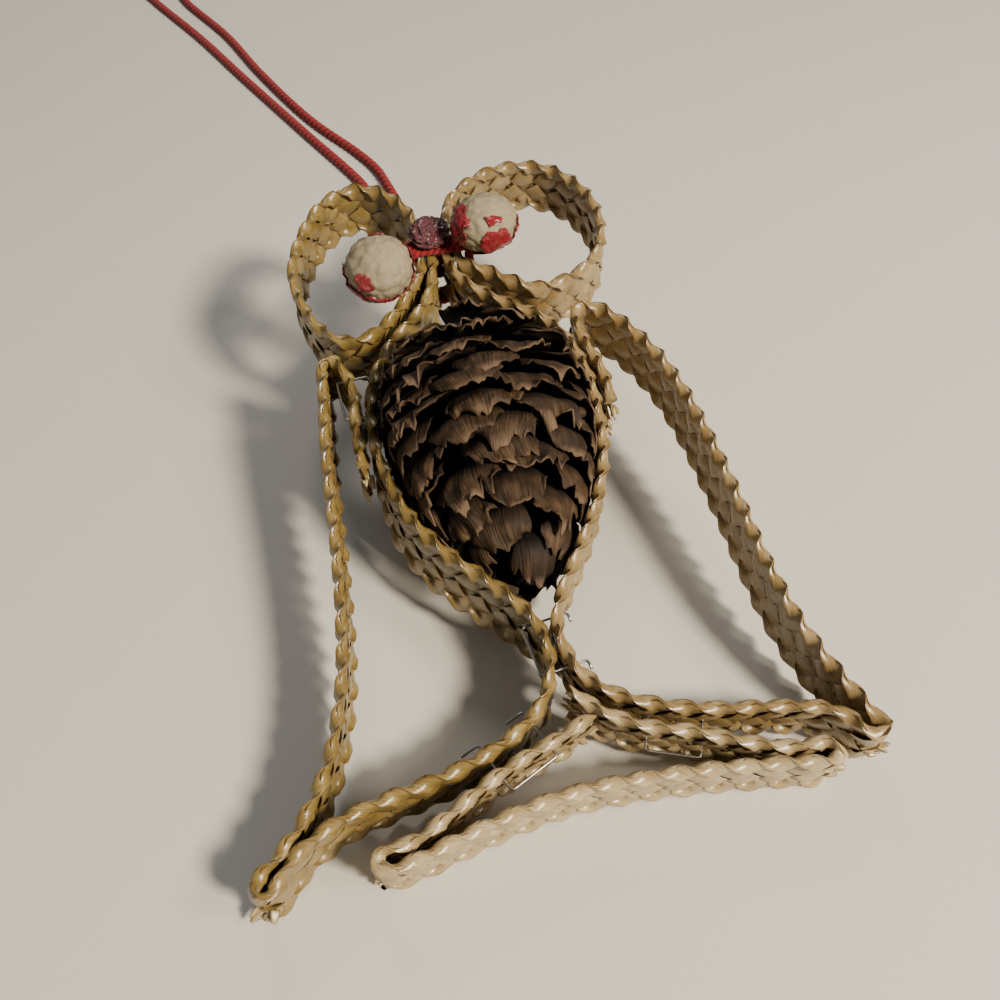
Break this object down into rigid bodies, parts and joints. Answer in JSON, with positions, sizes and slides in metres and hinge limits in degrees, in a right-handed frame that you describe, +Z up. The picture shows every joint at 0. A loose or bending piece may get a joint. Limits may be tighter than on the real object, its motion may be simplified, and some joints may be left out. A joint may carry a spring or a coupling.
{
  "type": "straw ornament",
  "caption": "Owl-like hanging ornament of flat plaited straw bands bent round a dry cone, with looped head, wings, tail, worn berries and a long hanging thread.",
  "frame": {"origin": "on the table plane, under the middle of the box of the lying figure without its hanging thread", "axes": "+Z up from the table, +Y from the tail to the head, +X to the right as the lying figure is seen from above"},
  "size_m": [0.1271, 0.3893, 0.0515],
  "materials": {
    "golden_straw": "satin natural straw",
    "pale_straw": "satin pale straw",
    "cone_scale": "dry, papery",
    "foam_core": "crushed foam with remains of red skin",
    "dried_glue": "glossy dried hot glue",
    "red_yarn": "matt twisted yarn",
    "staple_steel": "bright drawn wire"
  },
  "bodies": {
    "root": {"left_loop": "golden_straw", "right_loop": "golden_straw", "left_side_plait": "golden_straw", "right_side_plait": "golden_straw", "tail_plait": "pale_straw", "staple_left_leg": "staple_steel", "staple_junction": "staple_steel", "staple_left_wing": "staple_steel", "staple_right_wing": "staple_steel", "yarn_binding": "red_yarn", "glue_bead": "dried_glue", "left_berry": "foam_core", "right_berry": "foam_core", "spruce_cone": "cone_scale", "hanging_thread": "red_yarn"}
  },
  "joints": []
}
